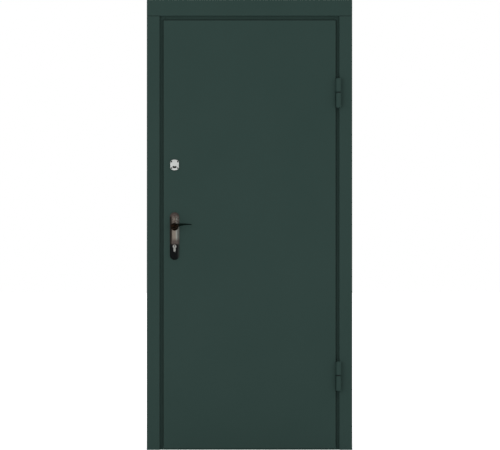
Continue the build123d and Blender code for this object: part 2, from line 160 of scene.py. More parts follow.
class Graph:
    """One node tree, filled node by node."""

    def __init__(self, tree: bpy.types.NodeTree) -> None:
        """Empty a node tree and keep it."""
        self.tree = tree
        tree.nodes.clear()

    def add(self, kind: str, settings: Settings = None, sockets: Sockets = None) -> bpy.types.Node:
        """Add any node.

        Args:
            kind: the node's type name.
            settings: properties that are set before the sockets; "stops" fills a colour ramp.
            sockets: values or wires for the inputs, by name or number.

        Returns:
            The new node.
        """
        node = self.tree.nodes.new(kind)
        for key, value in (settings or {}).items():
            if key == "stops":
                self._fill_ramp(node, value)
            else:
                setattr(node, key, value)
        for key, value in (sockets or {}).items():
            if isinstance(value, Wire):
                self.tree.links.new(value.socket, node.inputs[key])
            else:
                node.inputs[key].default_value = value
        return node

    @staticmethod
    def _fill_ramp(node: bpy.types.Node, stops: Sequence[Tuple[float, Colour]]) -> None:
        """Give a colour ramp its stops.

        Args:
            node: the colour ramp.
            stops: a place from 0 to 1 and a colour for each stop, in order.
        """
        elements = node.color_ramp.elements
        while len(elements) < len(stops):
            elements.new(1.0)
        for element, (place, colour) in zip(elements, stops):
            element.position = place
            element.color = colour

    def out(self, kind: str, settings: Settings = None, sockets: Sockets = None,
            output: Union[int, str] = 0) -> Wire:
        """Return one output of a node that is added as in add()."""
        return Wire(self, self.add(kind, settings, sockets).outputs[output])

    def place(self) -> Wire:
        """Return the object's own coordinates, in metres in the frame at rest."""
        return self.out("ShaderNodeTexCoord", output="Object")

    def along(self, place: Wire, axis: str) -> Wire:
        """Return one coordinate of a place."""
        return self.out("ShaderNodeSeparateXYZ", sockets={0: place}, output=axis)

    def stretched(self, place: Wire, scale: Tuple[float, float, float]) -> Wire:
        """Return a place scaled by axis, for grain that runs one way."""
        return self.out("ShaderNodeVectorMath", {"operation": "MULTIPLY"}, {0: place, 1: scale})

    def noise(self, place: Wire, scale: float, detail: float) -> Wire:
        """Return smooth noise about 0.5, with scale in features a metre."""
        return self.out("ShaderNodeTexNoise", sockets={"Vector": place, "Scale": scale, "Detail": detail})

    def mix(self, mask: Wire, low: Term, high: Term) -> Wire:
        """Return the colour low where the mask is 0 and high where it is 1."""
        return self.out("ShaderNodeMix", {"data_type": "RGBA"}, {0: mask, 6: low, 7: high}, 2)

    def bump(self, height: Wire, depth: float) -> Wire:
        """Return a normal bent by a height from 0 to 1 that is depth metres tall."""
        return self.out("ShaderNodeBump", sockets={"Strength": 1.0, "Distance": depth, "Height": height})

    def seen(self) -> Wire:
        """Tell rays that show the surroundings from rays that only carry light.

        Returns:
            1 for rays from the camera, off gloss and through glass, and 0 for the rest.
        """
        path = self.add("ShaderNodeLightPath")
        camera = Wire(self, path.outputs["Is Camera Ray"])
        gloss = Wire(self, path.outputs["Is Glossy Ray"])
        glass = Wire(self, path.outputs["Is Transmission Ray"])
        return camera.larger(gloss).larger(glass)

    def surface(self, sockets: Sockets) -> None:
        """Close a material's tree with one Principled shader."""
        shader = self.out("ShaderNodeBsdfPrincipled", sockets=sockets)
        self.add("ShaderNodeOutputMaterial", sockets={"Surface": shader})


def node_material(name: str) -> Tuple[bpy.types.Material, Graph]:
    """Make an empty material.

    Args:
        name: the material's name.

    Returns:
        The material and the graph that fills it.
    """
    material = bpy.data.materials.new(name)
    material.use_nodes = True
    return material, Graph(material.node_tree)


@dataclass(frozen=True)
class Finish:
    """A finish of the door: its material is made once and shared by its pieces."""

    label: str
    slot: str
    made: ClassVar[Dict[str, bpy.types.Material]] = {}

    def material(self) -> bpy.types.Material:
        """Make this finish's material at the first call.

        Returns:
            The material that all pieces of this finish share.
        """
        if self.label not in Finish.made:
            Finish.made[self.label], graph = node_material(self.label)
            self.shade(graph)
        return Finish.made[self.label]

    def shade(self, graph: Graph) -> None:
        """Fill a graph in the finish's own way."""
        raise NotImplementedError


@dataclass(frozen=True)
class PowderCoat(Finish):
    """Satin powder coat with fine orange peel, faint clouding and a slightly paler grain."""

    colour: Colour = rgb(0.0266, 0.0516, 0.0450)
    pale: Colour = rgb(0.0290, 0.0547, 0.0479)
    cloud_per_metre: float = 3.0
    peel_per_metre: float = 620.0
    grain_per_metre: float = 1860.0
    peel_depth: float = 0.10 * MM
    roughness: float = 0.46
    peel_swing: float = 0.16
    cloud_swing: float = 0.08
    specular: float = 0.05

    def shade(self, graph: Graph) -> None:
        """Mix the two paint tones by clouds and grain, with the peel as bump.

        Args:
            graph: the graph to fill.
        """
        place = graph.place()
        cloud = graph.noise(place, self.cloud_per_metre, 3.0)
        peel = graph.noise(place, self.peel_per_metre, 2.0)
        grain = graph.noise(place, self.grain_per_metre, 1.0)
        tone = (cloud * 0.6 + grain * 0.4).ramp(0.3, 0.7)
        graph.surface({
            "Base Color": graph.mix(tone, self.colour, self.pale),
            "Roughness": self.roughness + peel.swing(self.peel_swing) + cloud.swing(self.cloud_swing),
            "Specular IOR Level": self.specular,
            "Normal": graph.bump(peel, self.peel_depth),
        })


@dataclass(frozen=True)
class SealRubber(Finish):
    """Black seal rubber with a fine grain and a dusty bloom."""

    colour: Colour = rgb(0.0060, 0.0100, 0.0090)
    bloom: Colour = rgb(0.0140, 0.0215, 0.0195)
    dust_per_metre: float = 35.0
    grain_per_metre: float = 900.0
    grain_depth: float = 0.08 * MM
    roughness: float = 0.72
    grain_swing: float = 0.2
    specular: float = 0.10

    def shade(self, graph: Graph) -> None:
        """Lay the bloom over the black by dust and grain.

        Args:
            graph: the graph to fill.
        """
        place = graph.place()
        dust = graph.noise(place, self.dust_per_metre, 4.0)
        grain = graph.noise(place, self.grain_per_metre, 2.0)
        dusty = (dust * 0.7 + grain * 0.3).ramp(0.4, 0.75)
        graph.surface({
            "Base Color": graph.mix(dusty, self.colour, self.bloom),
            "Roughness": self.roughness + grain.swing(self.grain_swing),
            "Specular IOR Level": self.specular,
            "Normal": graph.bump(grain, self.grain_depth),
        })


@dataclass(frozen=True)
class AgedBronze(Finish):
    """Antique bronze of the plates: burnished, with painted shade along the left rim, a painted highlight
    column and a greyer painted reflection on the right rim, browned above and black at the foot with a
    painted sheen on its right edge.

    Places across are shares of a plate's width from its left edge, and drops are below its top.
    """

    left: float
    width: float
    top: float
    # Painted shade along the plate's left rim.
    rim_shade: Colour = rgb(0.016, 0.013, 0.011)
    burnished: Colour = rgb(0.160, 0.138, 0.116)
    # A painted highlight column.
    painted_highlight: Colour = rgb(0.245, 0.248, 0.222)
    # A darker grey painted reflection on the right rim.
    right_rim_reflection: Colour = rgb(0.105, 0.110, 0.101)
    browned: Colour = rgb(0.058, 0.046, 0.041)
    # Near-black over the plate's foot, darker towards the bottom.
    blackened: Colour = rgb(0.0036, 0.0040, 0.0044)
    # A painted sheen along the right edge of the foot.
    foot_sheen: Colour = rgb(0.0260, 0.0310, 0.0290)
    rim_shade_end: float = 0.18
    burnish_start: float = 0.29
    burnish_end: float = 0.60
    highlight_peak: float = 0.69
    right_rim_reflection_start: float = 0.77
    brown_start: float = 0.14
    brown_full: float = 0.29
    foot_sheen_start: float = 0.79
    foot_sheen_full: float = 0.93
    crown_drop: float = 24.48 * MM
    crown_fade: float = 10.0 * MM
    mottle_drop: float = 50.48 * MM
    mottle_fade: float = 4.0 * MM
    # Darker brown over the plate's lower part.
    lower_brown_drop: float = 115.48 * MM
    lower_brown_fade: float = 22.0 * MM
    lower_brown_share: float = 0.92
    foot_drop: float = 153.48 * MM
    foot_fade: float = 10.0 * MM
    brush_grain: Tuple[float, float, float] = (1.0, 1.0, 0.05)
    brush_per_metre: float = 1400.0
    brush_shift: float = 0.10
    blotch_per_metre: float = 190.0
    wander_per_metre: float = 260.0
    wander_reach: float = 16.0 * MM
    texture_depth: float = 0.06 * MM
    metallic: float = 0.85
    specular: float = 0.2
    roughness: float = 0.40
    brush_swing: float = 0.2
    foot_dulling: float = 0.08

    def shade(self, graph: Graph) -> None:
        """Colour the brushed columns, with painted shade, highlight and reflection across the plate, then
        brown them by height and by blotches.

        Args:
            graph: the graph to fill.
        """
        place = graph.place()
        brushed = graph.noise(graph.stretched(place, self.brush_grain), self.brush_per_metre, 2.0)
        blotch = graph.noise(place, self.blotch_per_metre, 3.0)
        wander = graph.noise(place, self.wander_per_metre, 3.0)
        across = (graph.along(place, "X") - self.left) / self.width + brushed.swing(self.brush_shift)
        drop = self.top - (graph.along(place, "Z") + wander.swing(self.wander_reach))
        # Across the plate the ramp paints shade at the left rim, then the burnished bronze, a highlight
        # column and a greyer reflection on the right rim.
        painted_light_and_browning = graph.out("ShaderNodeValToRGB", {"stops": self._stops()}, {0: across})
        inside_rim = across.ramp(self.brown_start, self.brown_full)
        blotches = 0.2 + (blotch * 0.7 + wander * 0.3).ramp(0.42, 0.56) * 0.8
        mottle = blotches * drop.ramp(self.mottle_drop + self.mottle_fade, self.mottle_drop) * inside_rim
        crown = drop.ramp(self.crown_drop, self.crown_drop - self.crown_fade)
        # Darker brown over the plate's lower part, inside the rims.
        lower_browning = drop.ramp(self.lower_brown_drop, self.lower_brown_drop + self.lower_brown_fade) * inside_rim * self.lower_brown_share
        for mask in (mottle, crown, lower_browning):
            painted_light_and_browning = graph.mix(mask, painted_light_and_browning, self.browned)
        # Near-black towards the bottom of the plate, with a painted sheen along the foot's right edge.
        foot = drop.ramp(self.foot_drop - self.foot_fade, self.foot_drop)
        black = graph.mix(across.ramp(self.foot_sheen_start, self.foot_sheen_full), self.blackened, self.foot_sheen)
        graph.surface({
            "Base Color": graph.mix(foot, painted_light_and_browning, black),
            "Metallic": self.metallic,
            "Specular IOR Level": self.specular,
            "Roughness": self.roughness + brushed.swing(self.brush_swing) + foot * self.foot_dulling,
            "Normal": graph.bump(brushed * 0.6 + wander * 0.4, self.texture_depth),
        })

    def _stops(self) -> Tuple[Tuple[float, Colour], ...]:
        """List the tones across a plate: painted shade at the left rim, the burnished bronze, a painted
        highlight and a greyer painted reflection on the right rim.

        Returns:
            A share of the width and a colour for each tone.
        """
        return (
            (0.0, self.rim_shade),
            (self.rim_shade_end, self.rim_shade),
            (self.burnish_start, self.burnished),
            (self.burnish_end, self.burnished),
            (self.highlight_peak, self.painted_highlight),
            (self.right_rim_reflection_start, self.right_rim_reflection),
            (1.0, self.right_rim_reflection),
        )


@dataclass(frozen=True)
class BlackBronze(Finish):
    """Oil-blackened bronze of the levers: brown round the hub, black with a green cast along the arm."""

    hub_edge: float
    black: Colour = rgb(0.0020, 0.0060, 0.0046)
    brown: Colour = rgb(0.0130, 0.0068, 0.0038)
    deep: Colour = rgb(0.0024, 0.0014, 0.0009)
    hub_fade: float = 6.0 * MM
    hub_wander: float = 20.0 * MM
    patch_per_metre: float = 90.0
    cast_per_metre: float = 520.0
    cast_depth: float = 0.06 * MM
    metallic: float = 0.9
    specular: float = 0.1
    roughness: float = 0.40
    patch_swing: float = 0.25
    cast_swing: float = 0.1

    def shade(self, graph: Graph) -> None:
        """Let brown give way to black past the hub's edge, with a soft cast texture.

        Args:
            graph: the graph to fill.
        """
        place = graph.place()
        patch = graph.noise(place, self.patch_per_metre, 3.0)
        cast = graph.noise(place, self.cast_per_metre, 2.0)
        past_hub = graph.along(place, "X") + patch.swing(self.hub_wander) - self.hub_edge
        hub = graph.mix((patch * 0.8 + cast * 0.2).ramp(0.40, 0.58), self.deep, self.brown)
        graph.surface({
            "Base Color": graph.mix(past_hub.ramp(-self.hub_fade, self.hub_fade), hub, self.black),
            "Metallic": self.metallic,
            "Roughness": self.roughness + patch.swing(self.patch_swing) + cast.swing(self.cast_swing),
            "Specular IOR Level": self.specular,
            "Normal": graph.bump(cast, self.cast_depth),
        })


@dataclass(frozen=True)
class BrushedMetal(Finish):
    """Bare or plated metal with brushing along one axis and faint handling marks."""

    colour: Colour
    stain: Colour
    grain: Tuple[float, float, float] = (1.0, 1.0, 0.05)
    roughness: float = 0.32
    brush_swing: float = 0.25
    marks_swing: float = 0.15
    brush_per_metre: float = 1600.0
    brush_depth: float = 0.02 * MM
    marks_per_metre: float = 60.0

    def shade(self, graph: Graph) -> None:
        """Brush the metal along its grain and mix in stains.

        Args:
            graph: the graph to fill.
        """
        place = graph.place()
        brush = graph.noise(graph.stretched(place, self.grain), self.brush_per_metre, 2.0)
        marks = graph.noise(place, self.marks_per_metre, 4.0)
        stained = (marks * 0.7 + brush * 0.3).ramp(0.45, 0.8)
        graph.surface({
            "Base Color": graph.mix(stained, self.colour, self.stain),
            "Metallic": 1.0,
            "Roughness": self.roughness + brush.swing(self.brush_swing) + marks.swing(self.marks_swing),
            "Normal": graph.bump(brush, self.brush_depth),
        })


PLATE_LOW, PLATE_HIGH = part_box("outside_plate")
HUB_INSET = 2.0 * MM
EVEN_GRAIN = (1.0, 1.0, 1.0)
PAINT = PowderCoat("powder_coat", "door_paint")
RUBBER = SealRubber("seal_rubber", "rubber")
PLATE_BRONZE = AgedBronze(
    "aged_bronze", "bronze", left=PLATE_LOW.x, width=PLATE_HIGH.x - PLATE_LOW.x, top=PLATE_HIGH.z)
LEVER_BLACK = BlackBronze("blackened_bronze", "dark_bronze", hub_edge=PLATE_HIGH.x - HUB_INSET)
CHROME = BrushedMetal(
    "satin_chrome", "chrome", rgb(0.45, 0.462, 0.453), rgb(0.33, 0.34, 0.33), roughness=0.34)
NICKEL = BrushedMetal("brushed_nickel", "nickel", rgb(0.205, 0.205, 0.192), rgb(0.15, 0.15, 0.14))
ZINC = BrushedMetal("zinc_plate", "zinc_steel", rgb(0.46, 0.46, 0.44), rgb(0.33, 0.32, 0.29))
# Near-black oiled steel; on the keyway wards and the key slot shutters its black also stands in for shade.
OILED = BrushedMetal(
    "oiled_steel", "oiled_steel", rgb(0.006, 0.007, 0.007), rgb(0.013, 0.014, 0.013), roughness=0.42)
STEEL = BrushedMetal(
    "bright_steel", "bright_steel", rgb(0.58, 0.58, 0.57), rgb(0.44, 0.43, 0.42), EVEN_GRAIN)


def dress(finish: Finish, *nodes: str) -> None:
    """Give CAD nodes a finish.

    Args:
        finish: the finish to show.
        nodes: names of the nodes that wear it.
    """
    for name in nodes:
        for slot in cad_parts[name].material_slots:
            slot.material = finish.material()
        LOG.info("node %s wears %s", name, finish.label)


def add_piece(name: str, mesh: bmesh.types.BMesh, finish: Finish, body: Body) -> None:
    """Turn a built mesh into a piece that rides on a body.

    Args:
        name: the piece's name.
        mesh: the geometry in the frame; it is freed here.
        finish: the finish to show.
        body: the body that carries the piece.
    """
    bmesh.ops.recalc_face_normals(mesh, faces=mesh.faces)
    data = bpy.data.meshes.new(name)
    mesh.to_mesh(data)
    mesh.free()
    data.materials.append(finish.material())
    piece = bpy.data.objects.new(name, data)
    bpy.context.scene.collection.objects.link(piece)
    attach(piece, body.value)
    LOG.info("piece %s: %d faces on %s", name, len(data.polygons), body.value)


def facing(place: Vector, normal: Vector) -> Matrix:
    """Return the transform that stands local Z along a normal at a place."""
    return Matrix.Translation(place) @ normal.to_track_quat("Z", "Y").to_matrix().to_4x4()


def circle(radius: float, height: float, steps: int) -> List[Vector]:
    """Return points round local Z at a height."""
    turns = (2.0 * math.pi * step / steps for step in range(steps))
    return [Vector((radius * math.cos(turn), radius * math.sin(turn), height)) for turn in turns]


def lathe(mesh: bmesh.types.BMesh, profile: Sequence[Tuple[float, float]], segments: int, where: Matrix,
          closed: bool = False) -> None:
    """Turn a profile about local Z.

    Args:
        mesh: the mesh to add to.
        profile: (radius, height) points in order.
        segments: how many steps the turn has.
        where: transform from local to frame coordinates.
        closed: whether the last point joins the first, for a profile that doesn't reach the axis.
    """
    rings = []
    for radius, height in profile:
        if radius > 0.0:
            rings.append([mesh.verts.new(where @ point) for point in circle(radius, height, segments)])
        else:
            rings.append([mesh.verts.new(where @ Vector((0.0, 0.0, height)))] * segments)
    if closed:
        rings.append(rings[0])
    for low, high in zip(rings, rings[1:]):
        for step in range(segments):
            after = (step + 1) % segments
            corners = dict.fromkeys((low[step], low[after], high[after], high[step]))
            mesh.faces.new(list(corners)).smooth = True


def bowed_slot(width: float, height: float, bow: float, steps: int = 12) -> List[Vector]:
    """Outline a slot that bows down in the middle, about the lowest point of its middle line.

    Args:
        width: length over the round ends.
        height: width of the slot, which is also the diameter of its ends.
        bow: how far the ends rise over the middle.
        steps: points along each side and round each end.

    Returns:
        The outline's points, in order, with height zero.
    """
    half = (width - height) / 2.0
    radius = (half * half + bow * bow) / (2.0 * bow)
    spread = math.asin(half / radius)
    reach = height / 2.0
    points = []
    for side in (1.0, -1.0):
        around = radius + side * reach
        for step in range(steps):
            angle = side * spread * (2.0 * step / steps - 1.0)
            points.append(Vector((around * math.sin(angle), radius - around * math.cos(angle), 0.0)))
        middle = Vector((side * radius * math.sin(spread), radius - radius * math.cos(spread), 0.0))
        for step in range(steps):
            angle = side * spread - math.pi / 2.0 * side + math.pi * step / steps
            points.append(middle + reach * Vector((math.cos(angle), math.sin(angle), 0.0)))
    return points


def sweep(mesh: bmesh.types.BMesh, loops: Sequence[Sequence[Vector]], smooth: bool = False) -> None:
    """Skin a row of loops that have the same number of points, and cap both ends.

    Args:
        mesh: the mesh to add to.
        loops: the loops, each a closed ring of points in the frame.
        smooth: whether the skin between the caps is shaded smooth.
    """
    rings = [[mesh.verts.new(point) for point in loop] for loop in loops]
    for ring, after in zip(rings, rings[1:]):
        for step, corner in enumerate(ring):
            other = (step + 1) % len(ring)
            mesh.faces.new((corner, ring[other], after[other], after[step])).smooth = smooth
    mesh.faces.new(rings[0][::-1])
    mesh.faces.new(rings[-1])


@dataclass(frozen=True)
class ScrewSet:
    """Screws of one size with a domed head and a cross recess, joined into one piece."""

    radius: float = 3.4 * MM
    rise: float = 1.2 * MM
    seat: float = 0.8 * MM
    recess_length: float = 3.6 * MM
    recess_width: float = 1.0 * MM
    recess_depth: float = 0.9 * MM
    snap: float = 0.02 * MM
    dome_steps: int = 6
    segments: int = 32

    def fix(self, name: str, seats: Sequence[Tuple[Vector, Vector]], finish: Finish, body: Body) -> None:
        """Add a piece of screws.

        Args:
            name: the piece's name.
            seats: a place and a normal for each screw.
            finish: the screws' finish.
            body: the body that carries them.
        """
        mesh = bmesh.new()
        for place, normal in seats:
            self._add_head(mesh, facing(place, normal))
        add_piece(name, mesh, finish, body)

    def _add_head(self, mesh: bmesh.types.BMesh, where: Matrix) -> None:
        """Add one closed head that stands on its seat.

        Args:
            mesh: the mesh to add to.
            where: transform that stands local Z outward at the seat.
        """
        profile = [(0.0, self.rise)]
        for step in range(1, self.dome_steps + 1):
            angle = 0.5 * math.pi * step / self.dome_steps
            profile.append((self.radius * math.sin(angle), self.rise * math.cos(angle)))
        profile += [(self.radius, -self.seat), (0.0, -self.seat)]
        head = bmesh.new()
        lathe(head, profile, self.segments, Matrix.Identity(4))
        self._cut_cross(head)
        head.transform(where)
        data = bpy.data.meshes.new("screw")
        head.to_mesh(data)
        head.free()
        mesh.from_mesh(data)
        bpy.data.meshes.remove(data)

    def _cut_cross(self, head: bmesh.types.BMesh) -> None:
        """Sink a cross into the top of one head.

        Args:
            head: the head, looking along local Z.
        """
        half_width = self.recess_width / 2.0
        half_length = self.recess_length / 2.0
        for axis in (Vector((1.0, 0.0, 0.0)), Vector((0.0, 1.0, 0.0))):
            for offset in (-half_length, -half_width, half_width, half_length):
                everything = head.verts[:] + head.edges[:] + head.faces[:]
                bmesh.ops.bisect_plane(
                    head, geom=everything, dist=self.snap, plane_co=axis * offset, plane_no=axis)
        sunk = [face for face in head.faces if self._in_cross(face.calc_center_median())]
        grown = bmesh.ops.extrude_face_region(head, geom=sunk)
        moved = [item for item in grown["geom"] if isinstance(item, bmesh.types.BMVert)]
        bmesh.ops.translate(head, verts=moved, vec=Vector((0.0, 0.0, -self.recess_depth)))
        bmesh.ops.delete(head, geom=sunk, context="FACES")

    def _in_cross(self, centre: Vector) -> bool:
        """Tell whether a face of the head belongs to the cross.

        Args:
            centre: the middle of the face.

        Returns:
            True for a face on the dome within either bar of the cross.
        """
        nearer, farther = sorted((abs(centre.x), abs(centre.y)))
        in_bar = nearer < self.recess_width / 2.0 and farther < self.recess_length / 2.0
        return centre.z > 0.0 and in_bar


FLAT_SCREWS = ScrewSet(radius=3.6 * MM, rise=0.5 * MM, seat=1.0 * MM)


def end_seats(node: str, margin: float, side: float) -> List[Tuple[Vector, Vector]]:
    """Place a screw near each end of an upright strip.

    Args:
        node: the strip's node.
        margin: how far the screws are from its ends.
        side: 1 if the strip's face looks to the right, and -1 if to the left.

    Returns:
        A place and a normal for each screw.
    """
    low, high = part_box(node)
    x = high.x if side > 0.0 else low.x
    y = (low.y + high.y) / 2.0
    return [(Vector((x, y, z)), Vector((side, 0.0, 0.0))) for z in (low.z + margin, high.z - margin)]


@dataclass
class DoorFrame:
    """The fixed frame: uprights, head, sill, casings, seals and strikes."""

    painted: Tuple[str, ...] = ("lock_jamb", "hinge_jamb", "frame_head", "sill",
                                "lock_casing", "hinge_casing", "head_casing")
    seals: Tuple[str, ...] = ("outer_seal", "inner_seal")
    strikes: Tuple[str, ...] = ("main_strike", "upper_strike")
    screw_margin: float = 16.0 * MM
    joint: float = 2.0 * MM
    joint_inset: float = 0.8 * MM
    joint_depth: float = 1.1 * MM
    joint_flank: float = 0.25 * MM
    joint_hollow: float = 0.35 * MM
    outer_stop: float = 0.2 * MM
    inner_stop: float = 2.2 * MM

    def build(self) -> None:
        """Dress the frame, fix its strikes and seal the casings' joints with black beads that also paint the
        joints' shade.
        """
        dress(PAINT, *self.painted)
        dress(RUBBER, *self.seals)
        dress(ZINC, *self.strikes)
        seats = [seat for strike in self.strikes for seat in end_seats(strike, self.screw_margin, 1.0)]
        FLAT_SCREWS.fix("strike_screws", seats, STEEL, Body.FRAME)
        self._seal_and_shade_joints()

    def _seal_and_shade_joints(self) -> None:
        """Run a hollow-faced bead of black sealant round the joint over each side casing; its black also
        stands in for the joint's shade, as painted shade.
        """
        near = self.joint_inset
        far = near + self.joint_depth
        flank = near + self.joint_flank
        hollow = near + self.joint_hollow
        section = (
            (far, 0.0), (near, 0.0), (flank, 0.3), (hollow, 0.5), (flank, 0.7), (near, 1.0), (far, 1.0))
        mesh = bmesh.new()
        for casing, inward in (("lock_casing", 1.0), ("hinge_casing", -1.0)):
            low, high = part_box(casing)
            outer, inner = (low.x, high.x) if inward > 0.0 else (high.x, low.x)
            loops: List[List[Vector]] = [[], [], [], []]
            for depth, share in section:
                start, end = outer + inward * depth, inner - inward * depth
                front, z = low.y + depth, high.z + share * self.joint
                loops[0].append(Vector((start, high.y - self.outer_stop, z)))
                loops[1].append(Vector((start, front, z)))
                loops[2].append(Vector((end, front, z)))
                loops[3].append(Vector((end, high.y - self.inner_stop, z)))
            sweep(mesh, loops)
        add_piece("casing_joint_shade_beads", mesh, RUBBER, Body.FRAME)


@dataclass
class DoorLeaf:
    """The leaf's sheets and tube core."""

    sheets: Tuple[str, ...] = ("outer_skin", "inner_skin")
    tubes: Tuple[str, ...] = ("lock_stile", "hinge_stile", "bottom_rail", "top_rail")

    def build(self) -> None:
        """Dress the leaf."""
        dress(PAINT, *self.sheets, *self.tubes)


@dataclass
class Hinge:
    """One barrel hinge with its weld beads."""

    level: str
    bead: float = 1.6 * MM
    pitch: float = 2.4 * MM
    ripple: float = 0.16
    end_share: float = 0.45
    end_slope: float = 4.0
    steps_per_ripple: int = 4
    least_steps: int = 8
    sides: int = 8
    plain_gap: float = 1.6 * MM
    arm_gap: float = 6.4 * MM
    foot_gap: float = 8.0 * MM
    foot_width: float = 7.0 * MM
    lip_depth: float = 8.0 * MM

    def build(self) -> None:
        """Dress the hinge and weld its arms."""
        dress(PAINT, f"{self.level}_frame_knuckle", f"{self.level}_leaf_knuckle")
        dress(OILED, f"{self.level}_hinge_pin", f"{self.level}_bearing_ring")
        self._weld_leaf_arm()
        self._weld_frame_foot()

    def _add_bead(self, mesh: bmesh.types.BMesh, foot: Vector, top: Vector) -> None:
        """Add one rippled weld bead that stands in an upright corner.

        Args:
            mesh: the mesh to add to.
            foot: the bead's lower end.
            top: its upper end.
        """
        length = (top - foot).length
        steps = max(self.least_steps, round(length / self.pitch) * self.steps_per_ripple)
        loops = []
        for step in range(steps + 1):
            share = step / steps
            wave = abs(math.sin(math.pi * share * length / self.pitch))
            taper = min(1.0, self.end_share + self.end_slope * min(share, 1.0 - share))
            radius = self.bead * (1.0 - self.ripple + self.ripple * wave) * taper
            middle = foot.lerp(top, share)
            loops.append([middle + point for point in circle(radius, 0.0, self.sides)])
        sweep(mesh, loops, smooth=True)

    def _weld_leaf_arm(self) -> None:
        """Weld the leaf knuckle's arm to the leaf's lip, front and back."""
        low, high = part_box(f"{self.level}_leaf_knuckle")
        skin_low, skin_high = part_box("outer_skin")
        arm_back = high.y
        arm_front = 2.0 * skin_low.y + self.lip_depth - arm_back
        mesh = bmesh.new()
        for y in (arm_front, arm_back):
            foot = Vector((skin_high.x, y, low.z + self.plain_gap))
            top = Vector((skin_high.x, y, high.z - self.arm_gap))
            self._add_bead(mesh, foot, top)
        add_piece(f"{self.level}_leaf_weld", mesh, PAINT, Body.LEAF)

    def _weld_frame_foot(self) -> None:
        """Weld the frame knuckle's foot to the front flange, on both sides."""
        low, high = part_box(f"{self.level}_frame_knuckle")
        foot_right = (low.x + high.x) / 2.0
        mesh = bmesh.new()
        for x in (foot_right - self.foot_width, foot_right):
            foot = Vector((x, high.y, low.z + self.foot_gap))
            top = Vector((x, high.y, high.z - self.plain_gap))
            self._add_bead(mesh, foot, top)
        add_piece(f"{self.level}_foot_weld", mesh, PAINT, Body.FRAME)


@dataclass
class LockSet:
    """The two locks in the leaf's edge, with their forend screws."""

    locks: Tuple[str, ...] = ("main_lock", "upper_lock")
    bolts: Tuple[str, ...] = ("main_bolts", "upper_bolts", "latch")
    screw_margin: float = 12.0 * MM

    def build(self) -> None:
        """Dress locks and bolts and drive their screws."""
        dress(ZINC, *self.locks)
        dress(STEEL, *self.bolts)
        seats = [seat for lock in self.locks for seat in end_seats(lock, self.screw_margin, -1.0)]
        FLAT_SCREWS.fix("forend_screws", seats, STEEL, Body.LEAF)


@dataclass
class HandleSet:
    """Handle plates, levers, spindle and cylinder on both faces."""

    screws: ScrewSet = ScrewSet()
    screw_inset: float = 16.0 * MM
    plug_radius: float = 7.3 * MM
    rim_width: float = 0.4 * MM
    rim_rise: float = 0.35 * MM
    rim_seat: float = 0.2 * MM
    rim_inner_flare: float = 0.1 * MM
    rim_outer_flare: float = 0.2 * MM
    rim_segments: int = 48
    keyway_width: float = 3.2 * MM
    keyway_height: float = 10.4 * MM
    keyway_rise: float = 1.4 * MM
    keyway_fit: float = 0.02 * MM
    ward_top: float = 0.8 * MM
    ward_foot: float = 6.8 * MM

    def build(self) -> None:
        """Dress the handles and add screws, plug rims and wards whose near-black paints the keyway's shade.
        """
        dress(PLATE_BRONZE, "outside_plate", "inside_plate")
        dress(LEVER_BLACK, "outside_lever", "inside_lever")
        dress(STEEL, "spindle")
        dress(NICKEL, "cylinder")
        self._screw_plates()
        self._rim_plugs()
        self._fill_and_shade_keyways()

    def _screw_plates(self) -> None:
        """Drive a screw near each end of both plates."""
        seats = []
        for face in Face:
            low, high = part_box(face.node("plate"))
            for z in (low.z + self.screw_inset, high.z - self.screw_inset):
                seats.append((Vector(((low.x + high.x) / 2.0, face.front(low, high), z)), face.normal))
        self.screws.fix("plate_screws", seats, PLATE_BRONZE, Body.LEAF)

    def _on_plug(self, face: Face, rise: float = 0.0) -> Matrix:
        """Find a place on the end of the cylinder's plug.

        Args:
            face: the side of the leaf.
            rise: how far the place is over the plug's middle.

        Returns:
            The transform that stands local Z outward there.
        """
        low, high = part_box("cylinder")
        radius = (high.x - low.x) / 2.0
        place = Vector(((low.x + high.x) / 2.0, face.front(low, high), high.z - radius + rise))
        return facing(place, face.normal)

    def _rim_plugs(self) -> None:
        """Rim the turning plug on both faces of the cylinder."""
        inner = self.plug_radius - self.rim_width
        profile = (
            (inner - self.rim_inner_flare, -self.rim_seat),
            (inner, self.rim_rise),
            (self.plug_radius, self.rim_rise),
            (self.plug_radius + self.rim_outer_flare, -self.rim_seat),
        )
        mesh = bmesh.new()
        for face in Face:
            lathe(mesh, profile, self.rim_segments, self._on_plug(face), closed=True)
        add_piece("cylinder_plug_rims", mesh, NICKEL, Body.LEAF)

    def _fill_and_shade_keyways(self) -> None:
        """Set the dark wards and pins into the keyway on both faces of the cylinder; their near-black also
        stands in for the shade inside the keyway, as painted shade.
        """
        edge = self.keyway_width / 2.0 - self.keyway_fit
        top = self.keyway_height / 2.0 - self.keyway_fit
        outline = (
            (-1.0, -0.55), (1.0, -0.55), (1.0, -0.2), (0.4, -0.1), (0.4, 0.1), (1.0, 0.2),
            (1.0, 1.0), (-1.0, 1.0), (-1.0, 0.45), (-0.4, 0.35), (-0.4, 0.05), (-1.0, -0.05),
        )
        mesh = bmesh.new()
        for face in Face:
            where = self._on_plug(face, self.keyway_rise)
            loops = []
            for depth in (self.ward_foot, self.ward_top):
                loops.append([where @ Vector((x * edge, z * top, -depth)) for x, z in outline])
            sweep(mesh, loops)
        add_piece("cylinder_wards_and_shade", mesh, OILED, Body.LEAF)


